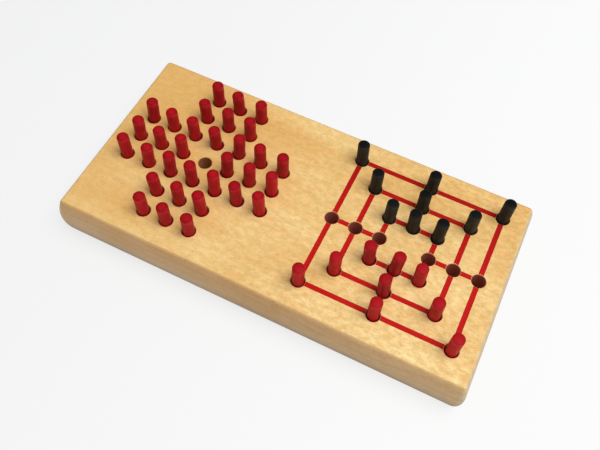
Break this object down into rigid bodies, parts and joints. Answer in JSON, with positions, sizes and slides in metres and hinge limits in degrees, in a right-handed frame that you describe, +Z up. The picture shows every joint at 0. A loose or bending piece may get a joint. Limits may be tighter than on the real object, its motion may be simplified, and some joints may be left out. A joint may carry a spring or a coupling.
{
  "type": "peg solitaire and nine mens morris board",
  "caption": "Solid wooden two-game board with a peg solitaire cross and a nine mens morris field in red lines, and loose red and black dowel pegs that lift out of their holes.",
  "frame": {"origin": "middle of the board's underside", "axes": "+X along the board from the solitaire field to the nine mens morris field, +Y to the back, where the black pegs stand, +Z up out of the holes"},
  "size_m": [0.2124, 0.106, 0.0406],
  "materials": {
    "beech": "satin oiled beech, flat sawn",
    "red_line_paint": "satin red paint filling shallow cuts",
    "red_stained_dowel": "red stained and waxed hardwood dowel",
    "black_stained_dowel": "black stained and waxed hardwood dowel"
  },
  "bodies": {
    "board": {"board": "beech", "mill_lines": "red_line_paint"},
    "mill_black_peg_a7": {"mill_black_peg_a7": "black_stained_dowel"},
    "mill_black_peg_b6": {"mill_black_peg_b6": "black_stained_dowel"},
    "mill_black_peg_c5": {"mill_black_peg_c5": "black_stained_dowel"},
    "mill_black_peg_d5": {"mill_black_peg_d5": "black_stained_dowel"},
    "mill_black_peg_d6": {"mill_black_peg_d6": "black_stained_dowel"},
    "mill_black_peg_d7": {"mill_black_peg_d7": "black_stained_dowel"},
    "mill_black_peg_e5": {"mill_black_peg_e5": "black_stained_dowel"},
    "mill_black_peg_f6": {"mill_black_peg_f6": "black_stained_dowel"},
    "mill_black_peg_g7": {"mill_black_peg_g7": "black_stained_dowel"},
    "mill_red_peg_a1": {"mill_red_peg_a1": "red_stained_dowel"},
    "mill_red_peg_b2": {"mill_red_peg_b2": "red_stained_dowel"},
    "mill_red_peg_c3": {"mill_red_peg_c3": "red_stained_dowel"},
    "mill_red_peg_d1": {"mill_red_peg_d1": "red_stained_dowel"},
    "mill_red_peg_d2": {"mill_red_peg_d2": "red_stained_dowel"},
    "mill_red_peg_d3": {"mill_red_peg_d3": "red_stained_dowel"},
    "mill_red_peg_e3": {"mill_red_peg_e3": "red_stained_dowel"},
    "mill_red_peg_f2": {"mill_red_peg_f2": "red_stained_dowel"},
    "mill_red_peg_g1": {"mill_red_peg_g1": "red_stained_dowel"},
    "solitaire_peg_a3": {"solitaire_peg_a3": "red_stained_dowel"},
    "solitaire_peg_a4": {"solitaire_peg_a4": "red_stained_dowel"},
    "solitaire_peg_a5": {"solitaire_peg_a5": "red_stained_dowel"},
    "solitaire_peg_b3": {"solitaire_peg_b3": "red_stained_dowel"},
    "solitaire_peg_b4": {"solitaire_peg_b4": "red_stained_dowel"},
    "solitaire_peg_b5": {"solitaire_peg_b5": "red_stained_dowel"},
    "solitaire_peg_c1": {"solitaire_peg_c1": "red_stained_dowel"},
    "solitaire_peg_c2": {"solitaire_peg_c2": "red_stained_dowel"},
    "solitaire_peg_c3": {"solitaire_peg_c3": "red_stained_dowel"},
    "solitaire_peg_c4": {"solitaire_peg_c4": "red_stained_dowel"},
    "solitaire_peg_c5": {"solitaire_peg_c5": "red_stained_dowel"},
    "solitaire_peg_c6": {"solitaire_peg_c6": "red_stained_dowel"},
    "solitaire_peg_c7": {"solitaire_peg_c7": "red_stained_dowel"},
    "solitaire_peg_d1": {"solitaire_peg_d1": "red_stained_dowel"},
    "solitaire_peg_d2": {"solitaire_peg_d2": "red_stained_dowel"},
    "solitaire_peg_d3": {"solitaire_peg_d3": "red_stained_dowel"},
    "solitaire_peg_d5": {"solitaire_peg_d5": "red_stained_dowel"},
    "solitaire_peg_d6": {"solitaire_peg_d6": "red_stained_dowel"},
    "solitaire_peg_d7": {"solitaire_peg_d7": "red_stained_dowel"},
    "solitaire_peg_e1": {"solitaire_peg_e1": "red_stained_dowel"},
    "solitaire_peg_e2": {"solitaire_peg_e2": "red_stained_dowel"},
    "solitaire_peg_e3": {"solitaire_peg_e3": "red_stained_dowel"},
    "solitaire_peg_e4": {"solitaire_peg_e4": "red_stained_dowel"},
    "solitaire_peg_e5": {"solitaire_peg_e5": "red_stained_dowel"},
    "solitaire_peg_e6": {"solitaire_peg_e6": "red_stained_dowel"},
    "solitaire_peg_e7": {"solitaire_peg_e7": "red_stained_dowel"},
    "solitaire_peg_f3": {"solitaire_peg_f3": "red_stained_dowel"},
    "solitaire_peg_f4": {"solitaire_peg_f4": "red_stained_dowel"},
    "solitaire_peg_f5": {"solitaire_peg_f5": "red_stained_dowel"},
    "solitaire_peg_g3": {"solitaire_peg_g3": "red_stained_dowel"},
    "solitaire_peg_g4": {"solitaire_peg_g4": "red_stained_dowel"},
    "solitaire_peg_g5": {"solitaire_peg_g5": "red_stained_dowel"}
  },
  "joints": [
    {"name": "mill_black_peg_a7_lift", "type": "slide", "parent": "board", "child": "mill_black_peg_a7", "axis": [0, 0, 1], "range_m": [0, 0.032]},
    {"name": "mill_black_peg_b6_lift", "type": "slide", "parent": "board", "child": "mill_black_peg_b6", "axis": [0, 0, 1], "range_m": [0, 0.032]},
    {"name": "mill_black_peg_c5_lift", "type": "slide", "parent": "board", "child": "mill_black_peg_c5", "axis": [0, 0, 1], "range_m": [0, 0.032]},
    {"name": "mill_black_peg_d5_lift", "type": "slide", "parent": "board", "child": "mill_black_peg_d5", "axis": [0, 0, 1], "range_m": [0, 0.032]},
    {"name": "mill_black_peg_d6_lift", "type": "slide", "parent": "board", "child": "mill_black_peg_d6", "axis": [0, 0, 1], "range_m": [0, 0.032]},
    {"name": "mill_black_peg_d7_lift", "type": "slide", "parent": "board", "child": "mill_black_peg_d7", "axis": [0, 0, 1], "range_m": [0, 0.032]},
    {"name": "mill_black_peg_e5_lift", "type": "slide", "parent": "board", "child": "mill_black_peg_e5", "axis": [0, 0, 1], "range_m": [0, 0.032]},
    {"name": "mill_black_peg_f6_lift", "type": "slide", "parent": "board", "child": "mill_black_peg_f6", "axis": [0, 0, 1], "range_m": [0, 0.032]},
    {"name": "mill_black_peg_g7_lift", "type": "slide", "parent": "board", "child": "mill_black_peg_g7", "axis": [0, 0, 1], "range_m": [0, 0.032]},
    {"name": "mill_red_peg_a1_lift", "type": "slide", "parent": "board", "child": "mill_red_peg_a1", "axis": [0, 0, 1], "range_m": [0, 0.032]},
    {"name": "mill_red_peg_b2_lift", "type": "slide", "parent": "board", "child": "mill_red_peg_b2", "axis": [0, 0, 1], "range_m": [0, 0.032]},
    {"name": "mill_red_peg_c3_lift", "type": "slide", "parent": "board", "child": "mill_red_peg_c3", "axis": [0, 0, 1], "range_m": [0, 0.032]},
    {"name": "mill_red_peg_d1_lift", "type": "slide", "parent": "board", "child": "mill_red_peg_d1", "axis": [0, 0, 1], "range_m": [0, 0.032]},
    {"name": "mill_red_peg_d2_lift", "type": "slide", "parent": "board", "child": "mill_red_peg_d2", "axis": [0, 0, 1], "range_m": [0, 0.032]},
    {"name": "mill_red_peg_d3_lift", "type": "slide", "parent": "board", "child": "mill_red_peg_d3", "axis": [0, 0, 1], "range_m": [0, 0.032]},
    {"name": "mill_red_peg_e3_lift", "type": "slide", "parent": "board", "child": "mill_red_peg_e3", "axis": [0, 0, 1], "range_m": [0, 0.032]},
    {"name": "mill_red_peg_f2_lift", "type": "slide", "parent": "board", "child": "mill_red_peg_f2", "axis": [0, 0, 1], "range_m": [0, 0.032]},
    {"name": "mill_red_peg_g1_lift", "type": "slide", "parent": "board", "child": "mill_red_peg_g1", "axis": [0, 0, 1], "range_m": [0, 0.032]},
    {"name": "solitaire_peg_a3_lift", "type": "slide", "parent": "board", "child": "solitaire_peg_a3", "axis": [0, 0, 1], "range_m": [0, 0.032]},
    {"name": "solitaire_peg_a4_lift", "type": "slide", "parent": "board", "child": "solitaire_peg_a4", "axis": [0, 0, 1], "range_m": [0, 0.032]},
    {"name": "solitaire_peg_a5_lift", "type": "slide", "parent": "board", "child": "solitaire_peg_a5", "axis": [0, 0, 1], "range_m": [0, 0.032]},
    {"name": "solitaire_peg_b3_lift", "type": "slide", "parent": "board", "child": "solitaire_peg_b3", "axis": [0, 0, 1], "range_m": [0, 0.032]},
    {"name": "solitaire_peg_b4_lift", "type": "slide", "parent": "board", "child": "solitaire_peg_b4", "axis": [0, 0, 1], "range_m": [0, 0.032]},
    {"name": "solitaire_peg_b5_lift", "type": "slide", "parent": "board", "child": "solitaire_peg_b5", "axis": [0, 0, 1], "range_m": [0, 0.032]},
    {"name": "solitaire_peg_c1_lift", "type": "slide", "parent": "board", "child": "solitaire_peg_c1", "axis": [0, 0, 1], "range_m": [0, 0.032]},
    {"name": "solitaire_peg_c2_lift", "type": "slide", "parent": "board", "child": "solitaire_peg_c2", "axis": [0, 0, 1], "range_m": [0, 0.032]},
    {"name": "solitaire_peg_c3_lift", "type": "slide", "parent": "board", "child": "solitaire_peg_c3", "axis": [0, 0, 1], "range_m": [0, 0.032]},
    {"name": "solitaire_peg_c4_lift", "type": "slide", "parent": "board", "child": "solitaire_peg_c4", "axis": [0, 0, 1], "range_m": [0, 0.032]},
    {"name": "solitaire_peg_c5_lift", "type": "slide", "parent": "board", "child": "solitaire_peg_c5", "axis": [0, 0, 1], "range_m": [0, 0.032]},
    {"name": "solitaire_peg_c6_lift", "type": "slide", "parent": "board", "child": "solitaire_peg_c6", "axis": [0, 0, 1], "range_m": [0, 0.032]},
    {"name": "solitaire_peg_c7_lift", "type": "slide", "parent": "board", "child": "solitaire_peg_c7", "axis": [0, 0, 1], "range_m": [0, 0.032]},
    {"name": "solitaire_peg_d1_lift", "type": "slide", "parent": "board", "child": "solitaire_peg_d1", "axis": [0, 0, 1], "range_m": [0, 0.032]},
    {"name": "solitaire_peg_d2_lift", "type": "slide", "parent": "board", "child": "solitaire_peg_d2", "axis": [0, 0, 1], "range_m": [0, 0.032]},
    {"name": "solitaire_peg_d3_lift", "type": "slide", "parent": "board", "child": "solitaire_peg_d3", "axis": [0, 0, 1], "range_m": [0, 0.032]},
    {"name": "solitaire_peg_d5_lift", "type": "slide", "parent": "board", "child": "solitaire_peg_d5", "axis": [0, 0, 1], "range_m": [0, 0.032]},
    {"name": "solitaire_peg_d6_lift", "type": "slide", "parent": "board", "child": "solitaire_peg_d6", "axis": [0, 0, 1], "range_m": [0, 0.032]},
    {"name": "solitaire_peg_d7_lift", "type": "slide", "parent": "board", "child": "solitaire_peg_d7", "axis": [0, 0, 1], "range_m": [0, 0.032]},
    {"name": "solitaire_peg_e1_lift", "type": "slide", "parent": "board", "child": "solitaire_peg_e1", "axis": [0, 0, 1], "range_m": [0, 0.032]},
    {"name": "solitaire_peg_e2_lift", "type": "slide", "parent": "board", "child": "solitaire_peg_e2", "axis": [0, 0, 1], "range_m": [0, 0.032]},
    {"name": "solitaire_peg_e3_lift", "type": "slide", "parent": "board", "child": "solitaire_peg_e3", "axis": [0, 0, 1], "range_m": [0, 0.032]},
    {"name": "solitaire_peg_e4_lift", "type": "slide", "parent": "board", "child": "solitaire_peg_e4", "axis": [0, 0, 1], "range_m": [0, 0.032]},
    {"name": "solitaire_peg_e5_lift", "type": "slide", "parent": "board", "child": "solitaire_peg_e5", "axis": [0, 0, 1], "range_m": [0, 0.032]},
    {"name": "solitaire_peg_e6_lift", "type": "slide", "parent": "board", "child": "solitaire_peg_e6", "axis": [0, 0, 1], "range_m": [0, 0.032]},
    {"name": "solitaire_peg_e7_lift", "type": "slide", "parent": "board", "child": "solitaire_peg_e7", "axis": [0, 0, 1], "range_m": [0, 0.032]},
    {"name": "solitaire_peg_f3_lift", "type": "slide", "parent": "board", "child": "solitaire_peg_f3", "axis": [0, 0, 1], "range_m": [0, 0.032]},
    {"name": "solitaire_peg_f4_lift", "type": "slide", "parent": "board", "child": "solitaire_peg_f4", "axis": [0, 0, 1], "range_m": [0, 0.032]},
    {"name": "solitaire_peg_f5_lift", "type": "slide", "parent": "board", "child": "solitaire_peg_f5", "axis": [0, 0, 1], "range_m": [0, 0.032]},
    {"name": "solitaire_peg_g3_lift", "type": "slide", "parent": "board", "child": "solitaire_peg_g3", "axis": [0, 0, 1], "range_m": [0, 0.032]},
    {"name": "solitaire_peg_g4_lift", "type": "slide", "parent": "board", "child": "solitaire_peg_g4", "axis": [0, 0, 1], "range_m": [0, 0.032]},
    {"name": "solitaire_peg_g5_lift", "type": "slide", "parent": "board", "child": "solitaire_peg_g5", "axis": [0, 0, 1], "range_m": [0, 0.032]}
  ]
}
